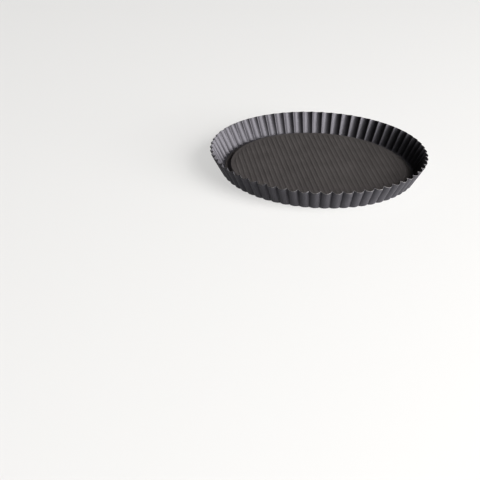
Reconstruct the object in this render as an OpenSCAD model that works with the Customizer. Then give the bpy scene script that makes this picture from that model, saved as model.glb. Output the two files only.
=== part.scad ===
// Fluted tart pan with a loose, raised base. Millimetres, +Z up.
// The origin is the centre of the pan, on the surface that it stands on.

/* [Fluted ring] */
// Diameter across the outermost points of the rim
rim_d = 280; // [240:5:320]
// Height from the table to the highest points of the rim
pan_h = 28; // [24:0.5:34]
// Lean of the wall's folds, in degrees from vertical
wall_lean = 27; // [20:0.5:33]
// Number of flutes round the wall
flute_count = 63; // [54:1:72]
// Depth of a flute at the rim, measured square to the wall
flute_depth = 4; // [3:0.1:4.4]
// Depth of a flute at the foot of the wall, measured level
foot_depth = 2.6; // [1.5:0.1:3.5]
// Thickness of the ring's sheet
ring_t = 0.7; // [0.6:0.05:0.9]
// Width of the lip that carries the base, from the folds at the foot to its inner edge
lip_w = 8.5; // [6:0.5:10]

/* [Loose base] */
// Gap all round between the base and the folds at the foot of the wall
base_gap = 2.6; // [1.5:0.1:3]
// Width of the flat flange round the base
flange_w = 3.2; // [1.6:0.1:4]
// Rise of the plateau above the flange
step_rise = 4.4; // [3:0.1:4.8]
// Slope of the step's flank, in degrees from level
step_slope = 52; // [45:1:70]
// Radius of the step's two bends, along the top of the sheet
step_bend = 1.2; // [0.9:0.1:1.6]
// Thickness of the base's sheet
base_t = 0.7; // [0.6:0.05:0.8]

/* [Ribs] */
// Distance between two ribs
rib_pitch = 6.55; // [6:0.05:8]
// Width of a rib at its foot
rib_w = 3.4; // [2.8:0.1:4]
// Width of a rib at its crown
rib_crown_w = 1.4; // [1:0.1:2]
// Height of a rib above the plateau
rib_h = 0.25; // [0.15:0.05:0.6]
// Plain margin between the ribs' ends and the edge of the plateau's flat top
rib_margin = 4.5; // [3:0.5:12]
// Turn of the ribs about the pan's axis, in degrees
rib_turn = 8.3; // [0:0.1:90]

/* [Hidden] */
$fn = 180;
ring_coating = [0.17, 0.17, 0.18];
base_coating = [0.24, 0.24, 0.25];

// The sheet is a little thicker through a fold. The rim is cut square to the wall, so its highest
// points are the folds' inner edges.
fold_thickening = 1.2;
fold_t = fold_thickening * ring_t;
fold_rim_z = pan_h - fold_t * sin(wall_lean);

// The folds' outer edges stand at fold_rim_r, and the flutes reach out to the rim's diameter
rim_r = rim_d / 2;
fold_rim_r = rim_r - flute_depth * cos(wall_lean);
fold_foot_r = fold_rim_r - fold_rim_z * tan(wall_lean);

// A flute's section is an arc on the chord between two folds
half_pitch = 180 / flute_count;
rim_half_chord = fold_rim_r * sin(half_pitch);
foot_half_chord = fold_foot_r * sin(half_pitch);

// The wall is a mesh with this many columns to a flute
flute_steps = 6;
columns = flute_count * flute_steps;
lip_r = fold_foot_r - lip_w;

// The base rests on the lip. Its step is a straight flank between two bends.
flange_r = fold_foot_r - base_gap;
step_foot_r = flange_r - flange_w;
flank = (step_rise - 2 * step_bend * (1 - cos(step_slope))) / sin(step_slope);
plateau_r = step_foot_r - 2 * step_bend * sin(step_slope) - flank * cos(step_slope);
flange_z = ring_t + base_t;
plateau_z = flange_z + step_rise;
arc_steps = 6;
overlap = 0.5;

rib_field_r = plateau_r - rib_margin;
rib_reach = floor(rib_field_r / rib_pitch);

// A point of a flute's section: along its chord, and out from it. The arc of the given depth is
// moved in by t, and share runs from -1 at one fold to 1 at the next.
function on_arc(half_chord, depth, t, share) =
    let (
        r = (half_chord * half_chord + depth * depth) / (2 * depth),
        turn = share * asin(half_chord / r)
    )
    [(r - t) * sin(turn), depth - r + (r - t) * cos(turn)];

// The same for the inside of the sheet, which is thicker at the folds
function inside_arc(half_chord, depth, t, share) =
    share == -1
        ? [-half_chord, -fold_thickening * t]
        : on_arc(half_chord, depth, t, share);

// Turns a place on a level section, from the middle of its chord, to its azimuth and height
function at_azimuth(azimuth, x, r, z) =
    [r * cos(azimuth) - x * sin(azimuth), r * sin(azimuth) + x * cos(azimuth), z];

// A point of the section at the rim, which stands square to the wall
function on_rim(azimuth, p) =
    at_azimuth(
        azimuth, p.x,
        fold_rim_r * cos(half_pitch) + p.y * cos(wall_lean), fold_rim_z - p.y * sin(wall_lean)
    );

// A point of the level section at the foot, followed up the lean of the wall to height z
function on_foot(azimuth, p, z) =
    at_azimuth(azimuth, p.x, fold_foot_r * cos(half_pitch) + p.y + z * tan(wall_lean), z);

// A point straight in from p, on a circle about the pan's axis
function inward(p, r, z) = [r * p.x / norm([p.x, p.y]), r * p.y / norm([p.x, p.y]), z];

// One column of the ring's section: down the outside, and back up the inside to the rim
function ring_column(i) =
    let (
        azimuth = (floor(i / flute_steps) + 0.5) * 2 * half_pitch,
        share = 2 * (i % flute_steps) / flute_steps - 1,
        level_t = ring_t / cos(wall_lean),
        foot = on_foot(azimuth, on_arc(foot_half_chord, foot_depth, 0, share), 0)
    )
    [
        on_rim(azimuth, on_arc(rim_half_chord, flute_depth, 0, share)),
        foot,
        inward(foot, lip_r, 0),
        inward(foot, lip_r, ring_t),
        on_foot(azimuth, inside_arc(foot_half_chord, foot_depth, level_t, share), ring_t),
        on_rim(azimuth, inside_arc(rim_half_chord, flute_depth, ring_t, share))
    ];

module fluted_ring() {
    rows = 6;
    points = [for (i = [0 : columns - 1]) each ring_column(i)];
    faces = [
        for (i = [0 : columns - 1], row = [0 : rows - 1])
            let (here = i * rows, next = ((i + 1) % columns) * rows, below = (row + 1) % rows)
            each [
                [here + row, next + row, next + below],
                [here + row, next + below, here + below]
            ]
    ];
    color(ring_coating) polyhedron(points, faces);
}

// The plain margin, the step and the flange in section: outwards along the top, and back underneath
module base_section() {
    top_turn = [for (i = [0 : arc_steps]) step_slope * i / arc_steps];
    foot_turn = [for (i = [0 : arc_steps]) step_slope * (1 - i / arc_steps)];
    crown_z = plateau_z - step_bend;
    hollow_z = flange_z + step_bend;
    top = [
        for (a = top_turn) [plateau_r + step_bend * sin(a), crown_z + step_bend * cos(a)],
        for (a = foot_turn) [step_foot_r - step_bend * sin(a), hollow_z - step_bend * cos(a)]
    ];
    crown_in = step_bend - base_t;
    hollow_out = step_bend + base_t;
    under = [
        for (a = top_turn) [plateau_r + crown_in * sin(a), crown_z + crown_in * cos(a)],
        for (a = foot_turn) [step_foot_r - hollow_out * sin(a), hollow_z - hollow_out * cos(a)]
    ];
    count = len(under);
    polygon([
        [rib_field_r - overlap, plateau_z],
        each top,
        [flange_r, flange_z],
        [flange_r, flange_z - base_t],
        for (i = [count - 1 : -1 : 0]) under[i],
        [rib_field_r - overlap, plateau_z - base_t]
    ]);
}

// The ribbed sheet, pressed to one thickness throughout, so that it is hollow under each rib
module ribbed_plate() {
    rib_line = [
        for (i = [-rib_reach : rib_reach], side = [-1, 1])
            let (x = i * rib_pitch)
            each side < 0
                ? [[x - rib_w / 2, 0], [x - rib_crown_w / 2, rib_h]]
                : [[x + rib_crown_w / 2, rib_h], [x + rib_w / 2, 0]]
    ];
    last = len(rib_line) - 1;
    far = rib_field_r + rib_w;
    intersection() {
        translate([0, 0, plateau_z])
            rotate([90, 0, rib_turn])
                linear_extrude(2 * far, center = true)
                    polygon([
                        [-far, 0],
                        each rib_line,
                        [far, 0],
                        [far, -base_t],
                        for (i = [last : -1 : 0]) rib_line[i] - [0, base_t],
                        [-far, -base_t]
                    ]);
        cylinder(h = plateau_z + 2 * rib_h, r = rib_field_r);
    }
}

module loose_base() {
    color(base_coating)
        union() {
            ribbed_plate();
            rotate_extrude() base_section();
        }
}

fluted_ring();
loose_base();
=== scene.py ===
"""A fluted tart pan with a loose, raised base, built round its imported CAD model. Metres, +Z up."""

import math

import bmesh
import bpy
import numpy as np
from mathutils import Matrix, Vector


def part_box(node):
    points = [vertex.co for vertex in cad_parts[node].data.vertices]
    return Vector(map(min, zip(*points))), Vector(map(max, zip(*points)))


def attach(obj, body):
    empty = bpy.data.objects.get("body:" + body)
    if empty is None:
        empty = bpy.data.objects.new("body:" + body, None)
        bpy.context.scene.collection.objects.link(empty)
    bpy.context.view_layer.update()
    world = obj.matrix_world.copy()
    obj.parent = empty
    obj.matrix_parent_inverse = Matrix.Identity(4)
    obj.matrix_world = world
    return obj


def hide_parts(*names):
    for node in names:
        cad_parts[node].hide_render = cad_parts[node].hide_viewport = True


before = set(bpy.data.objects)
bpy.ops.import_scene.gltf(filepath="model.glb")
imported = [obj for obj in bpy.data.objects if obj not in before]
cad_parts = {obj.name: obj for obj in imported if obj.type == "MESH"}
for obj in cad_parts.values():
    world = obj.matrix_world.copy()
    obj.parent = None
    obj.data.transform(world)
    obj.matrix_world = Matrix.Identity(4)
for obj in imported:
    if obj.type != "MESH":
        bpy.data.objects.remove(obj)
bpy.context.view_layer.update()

MM = 0.001

# ---- Driving sizes: the CAD model's, read from its boxes where they show there ----
ring_low, ring_high = (Vector(corner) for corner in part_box("fluted_ring"))
base_low, base_high = (Vector(corner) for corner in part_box("loose_base"))

RIM_R = 140 * MM
PAN_H = ring_high.z
WALL_LEAN = math.radians(27)
FLUTES = 63
FLUTE_DEPTH = 4 * MM
FOOT_DEPTH = 2.6 * MM
RING_T = base_low.z
FOLD_THICKENING = 1.2
FOLD_T = FOLD_THICKENING * RING_T
LIP_W = 8.5 * MM
BASE_GAP = 2.6 * MM
FLANGE_W = 3.2 * MM
STEP_RISE = 4.4 * MM
STEP_SLOPE = math.radians(52)
STEP_BEND = 1.2 * MM
BASE_T = 0.7 * MM
RIB_PITCH = 6.55 * MM
RIB_W = 3.4 * MM
RIB_CROWN_W = 1.4 * MM
RIB_MARGIN = 4.5 * MM
RIB_TURN = math.radians(8.3)

FOLD_RIM_Z = PAN_H - FOLD_T * math.sin(WALL_LEAN)
FOLD_RIM_R = RIM_R - FLUTE_DEPTH * math.cos(WALL_LEAN)
FOLD_FOOT_R = FOLD_RIM_R - FOLD_RIM_Z * math.tan(WALL_LEAN)
LIP_R = FOLD_FOOT_R - LIP_W
FLANGE_R = FOLD_FOOT_R - BASE_GAP
STEP_FOOT_R = FLANGE_R - FLANGE_W
FLANK = (STEP_RISE - 2 * STEP_BEND * (1 - math.cos(STEP_SLOPE))) / math.sin(STEP_SLOPE)
PLATEAU_R = STEP_FOOT_R - 2 * STEP_BEND * math.sin(STEP_SLOPE) - FLANK * math.cos(STEP_SLOPE)
FLANGE_Z = base_low.z + BASE_T
PLATEAU_Z = FLANGE_Z + STEP_RISE
RIB_H = base_high.z - PLATEAU_Z
RIB_FIELD_R = PLATEAU_R - RIB_MARGIN
RIB_REACH = math.floor(RIB_FIELD_R / RIB_PITCH)

# ---- Sizes that only the looks need ----
FOLD_ROUNDING = 0.9 * MM        # radius of the sheet's middle at a fold
FOLD_INSET = 0.15 * MM          # how far the rounding keeps the sheet's middle out of a sharp fold
FOOT_ROUNDING = 2.6 * MM        # radius of the sheet's middle where the wall turns into the lip
EDGE_ROUNDING = 0.5             # how far a cut edge bulges, as a share of half the sheet's thickness
RIB_FADE = 1.6 * MM             # how far from its end a rib starts to sink into the plateau
WEAR = "edge_wear"              # the attribute that says how thin the ring's coating is
WEAR_REACH = 1.1 * MM           # how far from the rim the coating thins

# ---- Fineness of the meshes ----
COLUMNS_PER_FLUTE = 20
FOLD_STEPS = 3                  # columns from a fold's middle to the flute's arc
FOOT_STEPS = 7
BEND_POINTS = 7
RIB_LINE_POINTS = 33
RIB_SPREAD = 1.04               # how widely the lines of points about a rib are spread
SAME_PLACE = 1e-7               # points closer together than this are joined

# Within END_ANGLE of the ribbed field's two ends, its lines of points are END_STEP apart
END_ANGLE = math.radians(7)
END_STEP = math.radians(0.8)

# Shares of the way along a stretch, or of a rib's pitch, and the angles round a cut edge
LIP_SHARES = (0, 0.02, 0.15, 0.35, 0.6, 0.85)
WALL_SHARES = (0.08, 0.25, 0.45, 0.65, 0.82, 0.92, 0.97, 1.0)
MARGIN_SHARES = (0.12, 0.5, 0.88)
FLANGE_SHARES = (0.4, 0.75, 0.92)
RIB_SHARES = (-0.42, -0.34, -0.27, -0.21, -0.12, 0, 0.12, 0.21, 0.27, 0.34, 0.42, 0.5)
RING_EDGE_ANGLES = np.radians((-58, -28, 0, 28, 58))
FLANGE_EDGE_ANGLES = np.radians((55, 28, 0, -28, -55))


# ---- Mesh helpers ----

def new_mesh(name, points, faces):
    """A smooth-shaded mesh object from an array of points and a list of faces."""
    mesh = bpy.data.meshes.new(name)
    mesh.from_pydata([tuple(p) for p in points], [], faces)
    mesh.validate()
    mesh.update()
    mesh.polygons.foreach_set("use_smooth", [True] * len(mesh.polygons))
    obj = bpy.data.objects.new(name, mesh)
    bpy.context.scene.collection.objects.link(obj)
    return obj


def loop_faces(columns, rows):
    """Quads of a closed tube bent into a ring: both its rows and its columns close on themselves."""
    faces = []
    for i in range(columns):
        here, after = i * rows, ((i + 1) % columns) * rows
        for j in range(rows):
            k = (j + 1) % rows
            faces.append((here + j, here + k, after + k, after + j))
    return faces


# ---- The fluted ring ----

def flute_section(half_chord, depth, thickness):
    """The sheet's middle across one flute: places along its chord, and distances out from the chord.

    The flute is an arc that bulges outwards, and joins its neighbours in small arcs at the folds."""
    fold_y = FOLD_INSET - thickness * FOLD_THICKENING / 2
    bulge = depth - thickness / 2 - fold_y
    reach = (half_chord ** 2 + bulge ** 2) / (2 * bulge)
    arc_r = reach - FOLD_ROUNDING
    x_join = arc_r * half_chord / reach
    fold_centre = fold_y + FOLD_ROUNDING
    section = []
    for x in section_samples(half_chord, x_join):
        if abs(x) <= x_join:
            y = fold_y + bulge - arc_r + math.sqrt(arc_r ** 2 - x ** 2)
        else:
            from_fold = half_chord - abs(x)
            y = fold_centre - math.sqrt(FOLD_ROUNDING ** 2 - from_fold ** 2)
        section.append((x, y))
    return section


def section_samples(half_chord, x_join):
    """Places across a flute from fold to fold, closer together round the fold."""
    arc_steps = COLUMNS_PER_FLUTE - 2 * FOLD_STEPS
    side = [-half_chord + (half_chord - x_join) * i / FOLD_STEPS for i in range(FOLD_STEPS)]
    arc = [-x_join * math.cos(math.pi * i / arc_steps) for i in range(arc_steps + 1)]
    far_side = [-x for x in reversed(side[1:])]
    return side + arc + far_side


def ring_middle():
    """The middle of the ring's sheet: an array of columns by rows of points, from the lip to the rim."""
    half_pitch = math.pi / FLUTES
    rim = flute_section(FOLD_RIM_R * math.sin(half_pitch), FLUTE_DEPTH, RING_T)
    foot = flute_section(FOLD_FOOT_R * math.sin(half_pitch), FOOT_DEPTH, RING_T / math.cos(WALL_LEAN))
    grid = []
    for flute in range(FLUTES):
        centre = (2 * flute + 1) * half_pitch
        for (rim_x, rim_y), (foot_x, foot_y) in zip(rim, foot):
            rim_out = FOLD_RIM_R * math.cos(half_pitch) + rim_y * math.cos(WALL_LEAN)
            rim_z = FOLD_RIM_Z - rim_y * math.sin(WALL_LEAN)
            foot_out = FOLD_FOOT_R * math.cos(half_pitch) + foot_y
            rim_a, foot_a = math.atan2(rim_x, rim_out), math.atan2(foot_x, foot_out)
            section = wall_profile(math.hypot(rim_x, rim_out), rim_z, math.hypot(foot_x, foot_out))
            column = []
            for r, z in section:
                a = centre + foot_a + (rim_a - foot_a) * z / rim_z
                column.append((r * math.cos(a), r * math.sin(a), z))
            grid.append(column)
    return np.array(grid)


def wall_profile(rim_r, rim_z, ground_r):
    """One column of the sheet's middle: along the lip, round the foot, and up the wall to the rim.

    The wall's line runs from ground_r, on the surface that the pan stands on, to the rim."""
    lip_z = RING_T / 2
    foot_r = ground_r + (rim_r - ground_r) * lip_z / rim_z
    lean = math.atan2(rim_r - foot_r, rim_z - lip_z)
    swing = math.pi / 2 - lean
    start_r = foot_r - FOOT_ROUNDING * math.tan(swing / 2)
    lip = [(LIP_R + (start_r - LIP_R) * t, lip_z) for t in LIP_SHARES]
    foot = []
    for i in range(FOOT_STEPS + 1):
        a = swing * i / FOOT_STEPS
        foot.append((start_r + FOOT_ROUNDING * math.sin(a), lip_z + FOOT_ROUNDING * (1 - math.cos(a))))
    end_r, end_z = foot[-1]
    wall = [(end_r + (rim_r - end_r) * t, end_z + (rim_z - end_z) * t) for t in WALL_SHARES]
    return lip + foot + wall


def sheet_from_middle(middle, thickness):
    """Both faces of a closed sheet, and its two rounded cut edges, from the sheet's middle.

    Returns the points as columns by rows, where the rows go up one face and come back down the other."""
    along = np.gradient(middle, axis=1)
    around = np.roll(middle, -1, axis=0) - np.roll(middle, 1, axis=0)
    normal = np.cross(around, along)
    normal /= np.linalg.norm(normal, axis=2, keepdims=True)
    along /= np.linalg.norm(along, axis=2, keepdims=True)
    half = thickness / 2
    upper = middle + normal * half
    lower = middle - normal * half
    rows = [lower[:, j] for j in range(middle.shape[1])]
    rows += edge_rows(middle[:, -1], normal[:, -1], along[:, -1], half)
    rows += [upper[:, j] for j in range(middle.shape[1] - 1, -1, -1)]
    rows += edge_rows(middle[:, 0], -normal[:, 0], -along[:, 0], half)
    return np.stack(rows, axis=1)


def edge_rows(middle, normal, outward, half):
    """The rows of points round a cut edge, from one face of the sheet to the other."""
    rows = []
    for a in RING_EDGE_ANGLES:
        bulge = half * EDGE_ROUNDING * math.cos(a)
        rows.append(middle + normal * half * math.sin(a) + outward * bulge)
    return rows


def build_ring():
    """The fluted wall and its in-turned lip, as one closed sheet."""
    middle = ring_middle()
    # The cut edge bulges past the middle's end, so the rim and the lip stop short by as much
    middle = pull_in_ends(middle, RING_T / 2 * EDGE_ROUNDING)
    grid = sheet_from_middle(middle, RING_T)
    columns, rows, _ = grid.shape
    obj = new_mesh("fluted_ring_sheet", grid.reshape(-1, 3), loop_faces(columns, rows))
    rim_line = middle[:, -1]
    distance = np.linalg.norm(grid - rim_line[:, None, :], axis=2)
    wear = np.clip(1 - distance / WEAR_REACH, 0, 1)
    obj.data.attributes.new(WEAR, "FLOAT", "POINT").data.foreach_set("value", wear.ravel())
    return obj


def pull_in_ends(middle, amount):
    """The same sheet's middle with its first and last rows moved inwards along the sheet."""
    out = middle.copy()
    for end, neighbour in ((0, 1), (-1, -2)):
        step = middle[:, end] - middle[:, neighbour]
        length = np.linalg.norm(step, axis=1, keepdims=True)
        out[:, end] = middle[:, end] - step / length * amount
    return out


# ---- The loose base ----

def rib_height(x):
    """Height of the ribs above the plateau at the distance x across them, with rounded shoulders."""
    from_rib = np.abs(x - RIB_PITCH * np.round(x / RIB_PITCH))
    shoulder_w = (RIB_W - RIB_CROWN_W) / 2
    t = np.clip((RIB_W / 2 - from_rib) / shoulder_w, 0, 1)
    beyond = np.abs(np.round(x / RIB_PITCH)) > RIB_REACH
    return np.where(beyond, 0.0, RIB_H * t * t * (3 - 2 * t))


def rib_places():
    """Distances across the ribs at which the plateau's mesh has a line of points."""
    places = [(i + RIB_SPREAD * s) * RIB_PITCH
              for i in range(-RIB_REACH, RIB_REACH + 1) for s in RIB_SHARES]
    inner = [x for x in places if abs(x) < RIB_FIELD_R * math.cos(END_ANGLE)]
    ends = [RIB_FIELD_R * math.cos(a) for a in np.arange(END_STEP, END_ANGLE, END_STEP)]
    # Rounded, so that a place that comes twice is kept once
    return sorted(set(round(x, 7) for x in inner + ends + [-x for x in ends]))


def plateau_grid():
    """The ribbed field: lines of points along the ribs, from the field's edge to its other edge."""
    xs = np.array(rib_places())
    half = np.sqrt(RIB_FIELD_R ** 2 - xs ** 2)
    # Closer together near the ribs' rounded ends
    steps = np.sin(np.linspace(-math.pi / 2, math.pi / 2, RIB_LINE_POINTS))
    x = np.repeat(xs[:, None], len(steps), axis=1)
    y = half[:, None] * steps[None, :]
    fade = np.clip((RIB_FIELD_R - np.hypot(x, y)) / RIB_FADE, 0, 1)
    z = PLATEAU_Z + rib_height(x) * np.sqrt(fade * (2 - fade))
    turn_c, turn_s = math.cos(RIB_TURN), math.sin(RIB_TURN)
    return np.stack([x * turn_c - y * turn_s, x * turn_s + y * turn_c, z], axis=2)


def step_profile():
    """The base's sheet outside the ribs, along its top: the margin, the step and the flange.

    Each entry is a radius, a height, and the slope of the sheet there."""
    margin = [(RIB_FIELD_R + (PLATEAU_R - RIB_FIELD_R) * t, PLATEAU_Z, 0.0) for t in MARGIN_SHARES]
    turns = np.linspace(0, STEP_SLOPE, BEND_POINTS)
    crown = [(PLATEAU_R + STEP_BEND * math.sin(a), PLATEAU_Z - STEP_BEND * (1 - math.cos(a)), a)
             for a in turns]
    hollow = [(STEP_FOOT_R - STEP_BEND * math.sin(a), FLANGE_Z + STEP_BEND * (1 - math.cos(a)), a)
              for a in reversed(turns)]
    flange = [(STEP_FOOT_R + (FLANGE_R - STEP_FOOT_R) * t, FLANGE_Z, 0.0) for t in FLANGE_SHARES]
    return margin + crown + hollow + flange


def field_edge(lines, along):
    """The points round the field's edge: the first line, the lines' far ends, the last line, and home."""
    first = list(range(along))
    far_ends = [i * along + along - 1 for i in range(1, lines)]
    last = [(lines - 1) * along + j for j in range(along - 2, -1, -1)]
    near_ends = [i * along for i in range(lines - 2, 0, -1)]
    return first + far_ends + last + near_ends


def base_section():
    """The base's section outside the ribs: out along the top, round the cut edge, and back underneath."""
    profile = step_profile()
    half = BASE_T / 2
    top = [(r, z) for r, z, _ in profile]
    cut_edge = [(FLANGE_R - half * (1 - math.cos(a)), FLANGE_Z - half + half * math.sin(a))
                for a in FLANGE_EDGE_ANGLES]
    under = [(r - BASE_T * math.sin(a), z - BASE_T * math.cos(a)) for r, z, a in reversed(profile)]
    return top + cut_edge + under


def field_faces(lines, along):
    """Quads between the field's lines of points."""
    faces = []
    for i in range(lines - 1):
        for j in range(along - 1):
            a = i * along + j
            faces.append((a, a + along, a + along + 1, a + 1))
    return faces


def build_base():
    """The raised base as one closed sheet: the ribbed field, and rings of points from there outwards."""
    field = plateau_grid()
    lines, along, _ = field.shape
    top = field.reshape(-1, 3)
    under = top - np.array([0, 0, BASE_T])
    count = len(top)
    faces = field_faces(lines, along)
    faces += [tuple(count + v for v in reversed(f)) for f in faces]
    edge = field_edge(lines, along)
    size = len(edge)
    azimuth = np.arctan2(top[edge, 1], top[edge, 0])
    points = [top, under]
    rings = [edge]
    for n, (r, z) in enumerate(base_section()):
        points.append(np.stack([r * np.cos(azimuth), r * np.sin(azimuth), np.full(size, z)], axis=1))
        rings.append([2 * count + n * size + v for v in range(size)])
    rings.append([count + v for v in edge])
    for inner, outer in zip(rings, rings[1:]):
        for v in range(size):
            w = (v + 1) % size
            faces.append((inner[v], inner[w], outer[w], outer[v]))
    obj = new_mesh("loose_base_sheet", np.concatenate(points), faces)
    weld(obj)
    return obj


def weld(obj):
    """Joins points that fall together, and turns every face of a closed mesh outwards."""
    work = bmesh.new()
    work.from_mesh(obj.data)
    bmesh.ops.remove_doubles(work, verts=work.verts, dist=SAME_PLACE)
    bmesh.ops.recalc_face_normals(work, faces=work.faces)
    work.to_mesh(obj.data)
    work.free()


# ---- Materials ----

MOTTLE_SCALE = 38               # noise scales are in waves to the metre
SPECKLE_SCALE = 1 / (0.55 * MM)
PATCH_SCALE = 420
TINT_SPREAD = 0.09              # how far the mottling lightens and darkens the coating's colour
SMOOTHER = 0.03                 # how far the mottling takes the roughness down
ROUGHER = 0.04                  # and how far up
BLACK = (0, 0, 0, 1)
FLECK_COLOUR = (0.05, 0.05, 0.053, 1)
COATING_GLEAM = 0.06
GRAIN_STRENGTH = 0.35
GRAIN_HEIGHT = 0.04 * MM
STEEL_COLOUR = (0.30, 0.29, 0.28, 1)
STEEL_SHOWS = 0.30              # how worn the coating is where the steel starts to show
STEEL_BARE = 0.56               # and where the steel is bare


def set_inputs(tree, node, inputs):
    """Gives each input, by name or number, its value, or links it to the output that is given."""
    for key, value in inputs.items():
        if isinstance(value, bpy.types.NodeSocket):
            tree.links.new(value, node.inputs[key])
        else:
            node.inputs[key].default_value = value


def noise(tree, scale, detail, roughness=0.5):
    """Noise that is fixed to the piece."""
    place = tree.nodes.new("ShaderNodeTexCoord").outputs["Object"]
    node = tree.nodes.new("ShaderNodeTexNoise")
    set_inputs(tree, node, {"Vector": place, "Scale": scale, "Detail": detail, "Roughness": roughness})
    return node.outputs["Fac"]


def ramp(tree, source, low, low_colour, high, high_colour):
    """A colour that goes from one to the other as the source goes from low to high."""
    node = tree.nodes.new("ShaderNodeValToRGB")
    first, last = node.color_ramp.elements
    first.position, first.color = low, low_colour
    last.position, last.color = high, high_colour
    set_inputs(tree, node, {"Fac": source})
    return node.outputs["Color"]


def remap(tree, source, low, high, out_low, out_high):
    """The source's range from low to high, taken to the range from out_low to out_high."""
    node = tree.nodes.new("ShaderNodeMapRange")
    set_inputs(tree, node, {"Value": source, "From Min": low, "From Max": high,
                            "To Min": out_low, "To Max": out_high})
    return node.outputs["Result"]


def mix(tree, blend, factor, first, second):
    """Two colours, mixed."""
    node = tree.nodes.new("ShaderNodeMix")
    node.data_type = "RGBA"
    node.blend_type = blend
    set_inputs(tree, node, {"Factor": factor, "A": first, "B": second})
    return node.outputs["Result"]


def coating(name, colour, roughness, mirror):
    """A dark non-stick coating, mottled and finely speckled. Its satin sheen is part mirror."""
    material = bpy.data.materials.new(name)
    material.use_nodes = True
    tree = material.node_tree
    mottle = noise(tree, MOTTLE_SCALE, 5, 0.6)
    speckle = noise(tree, SPECKLE_SCALE, 3)
    dark = (*[c * (1 - TINT_SPREAD) for c in colour], 1)
    light = (*[c * (1 + TINT_SPREAD) for c in colour], 1)
    tint = ramp(tree, mottle, 0.3, dark, 0.72, light)
    fleck = ramp(tree, speckle, 0.60, BLACK, 0.78, FLECK_COLOUR)
    grain = tree.nodes.new("ShaderNodeBump")
    set_inputs(tree, grain, {"Height": speckle, "Strength": GRAIN_STRENGTH, "Distance": GRAIN_HEIGHT})
    set_inputs(tree, tree.nodes["Principled BSDF"], {
        "Base Color": mix(tree, "ADD", 1, tint, fleck),
        "Metallic": mirror,
        "Specular IOR Level": COATING_GLEAM,
        "Roughness": remap(tree, mottle, 0.3, 0.7, roughness - SMOOTHER, roughness + ROUGHER),
        "Normal": grain.outputs["Normal"],
    })
    return material


def show_steel(material):
    """Lets the steel show in small patches where the coating is thin. Bare steel is a full mirror."""
    tree = material.node_tree
    shader = tree.nodes["Principled BSDF"]
    wear = tree.nodes.new("ShaderNodeAttribute")
    wear.attribute_name = WEAR
    worn = tree.nodes.new("ShaderNodeMath")
    worn.operation = "MULTIPLY"
    set_inputs(tree, worn, {0: wear.outputs["Fac"], 1: noise(tree, PATCH_SCALE, 4)})
    bare = remap(tree, worn.outputs["Value"], STEEL_SHOWS, STEEL_BARE, 0, 1)
    coat_colour = shader.inputs["Base Color"].links[0].from_socket
    coat_mirror = shader.inputs["Metallic"].default_value
    set_inputs(tree, shader, {
        "Base Color": mix(tree, "MIX", bare, coat_colour, STEEL_COLOUR),
        "Metallic": remap(tree, bare, 0, 1, coat_mirror, 1),
    })


def ring_coating():
    """The ring's coating, worn along the rim."""
    material = coating("ring_coating", (0.100, 0.098, 0.107), roughness=0.54, mirror=0.5)
    show_steel(material)
    return material


def base_coating():
    """The base's coating, which is flatter and a little warmer."""
    return coating("base_coating", (0.093, 0.087, 0.086), roughness=0.70, mirror=0.04)


def floor_material():
    """A plain pale tabletop, with a weak glow that keeps the pan's shadow pale."""
    material = bpy.data.materials.new("pale_floor")
    material.use_nodes = True
    shader = material.node_tree.nodes["Principled BSDF"].inputs
    shader["Base Color"].default_value = (0.20, 0.20, 0.198, 1)
    shader["Roughness"].default_value = 0.75
    shader["Emission Color"].default_value = (1, 0.995, 0.985, 1)
    shader["Emission Strength"].default_value = 0.44
    return material


# ---- Stage, lights and camera ----

# The floor's rings of points: radius and height
FLOOR_RINGS = ((0.4, 0.0), (1.2, 0.0), (2.2, 0.0), (2.8, 0.06), (3.1, 0.2))
FLOOR_COLUMNS = 96

# Each light's place, size, power in watts, and colour. All of them face the pan.
DAYLIGHT = (1.0, 0.985, 0.975)
LIGHTS = {
    "window_light": ((2.15, -1.55, 1.55), (3.2, 2.2), 184, DAYLIGHT),
    "low_light": ((2.50, -1.50, 0.36), (1.8, 0.6), 58, DAYLIGHT),
    "top_light": ((0, 0, 3.5), (3.0, 3.0), 14, (1, 1, 1)),
}
ROOM_BRIGHTNESS = 0.01

CAMERA_PLACE = (-0.0976, -1.5842, 0.6628)
CAMERA_PITCH = math.radians(25.88)
CAMERA_ROLL = math.radians(1.785)
CAMERA_LENS = 99.6              # in millimetres, as Blender takes lenses and sensors
CAMERA_SENSOR = 36


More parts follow.
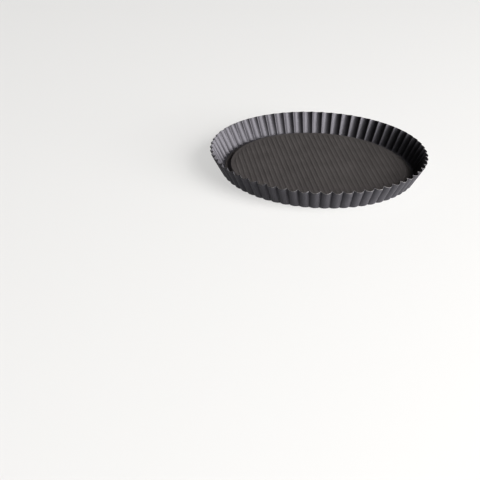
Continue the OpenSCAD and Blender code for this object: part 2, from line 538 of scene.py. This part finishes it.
def build_floor():
    """A round sheet that the pan stands on, turned up a little at its edge."""
    points = [(0, 0, 0)]
    for r, z in FLOOR_RINGS:
        points += [(r * math.cos(a), r * math.sin(a), z)
                   for a in np.linspace(0, 2 * math.pi, FLOOR_COLUMNS, endpoint=False)]
    faces = [(0, 1 + i, 1 + (i + 1) % FLOOR_COLUMNS) for i in range(FLOOR_COLUMNS)]
    for ring in range(len(FLOOR_RINGS) - 1):
        start = 1 + ring * FLOOR_COLUMNS
        after = start + FLOOR_COLUMNS
        for i in range(FLOOR_COLUMNS):
            j = (i + 1) % FLOOR_COLUMNS
            faces.append((start + i, after + i, after + j, start + j))
    floor = new_mesh("floor", points, faces)
    floor.data.materials.append(floor_material())


def build_lights():
    """A window to the pan's right and front, a low light under it, a soft one overhead, and a dim room."""
    for name, (place, size, power, colour) in LIGHTS.items():
        light = bpy.data.lights.new(name, "AREA")
        light.shape = "RECTANGLE"
        light.size, light.size_y = size
        light.energy = power
        light.color = colour
        obj = bpy.data.objects.new(name, light)
        obj.location = place
        obj.rotation_euler = (-Vector(place)).to_track_quat("-Z", "Y").to_euler()
        bpy.context.scene.collection.objects.link(obj)
    world = bpy.data.worlds.new("room")
    world.use_nodes = True
    world.node_tree.nodes["Background"].inputs["Color"].default_value = (1, 1, 1, 1)
    world.node_tree.nodes["Background"].inputs["Strength"].default_value = ROOM_BRIGHTNESS
    bpy.context.scene.world = world


def build_camera():
    """A camera that looks down at the pan from the front, a little to its left, with a slight roll."""
    forward = Vector((0, math.cos(CAMERA_PITCH), -math.sin(CAMERA_PITCH)))
    level_up = Vector((0, math.sin(CAMERA_PITCH), math.cos(CAMERA_PITCH)))
    level_right = Vector((1, 0, 0))
    right = level_right * math.cos(CAMERA_ROLL) + level_up * math.sin(CAMERA_ROLL)
    up = level_up * math.cos(CAMERA_ROLL) - level_right * math.sin(CAMERA_ROLL)
    camera = bpy.data.cameras.new("camera")
    camera.sensor_width = CAMERA_SENSOR
    camera.lens = CAMERA_LENS
    camera.clip_start = 0.05
    camera.clip_end = 50
    obj = bpy.data.objects.new("camera", camera)
    turn = Matrix((right, up, -forward)).transposed().to_4x4()
    obj.matrix_world = Matrix.Translation(CAMERA_PLACE) @ turn
    bpy.context.scene.collection.objects.link(obj)
    bpy.context.scene.camera = obj


# ---- The whole ----

ring = build_ring()
ring.data.materials.append(ring_coating())
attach(ring, "ring")
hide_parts("fluted_ring")

base = build_base()
base.data.materials.append(base_coating())
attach(base, "base")
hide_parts("loose_base")

build_floor()
build_lights()
build_camera()
bpy.context.scene.view_settings.view_transform = "Standard"
bpy.context.scene.view_settings.look = "High Contrast"
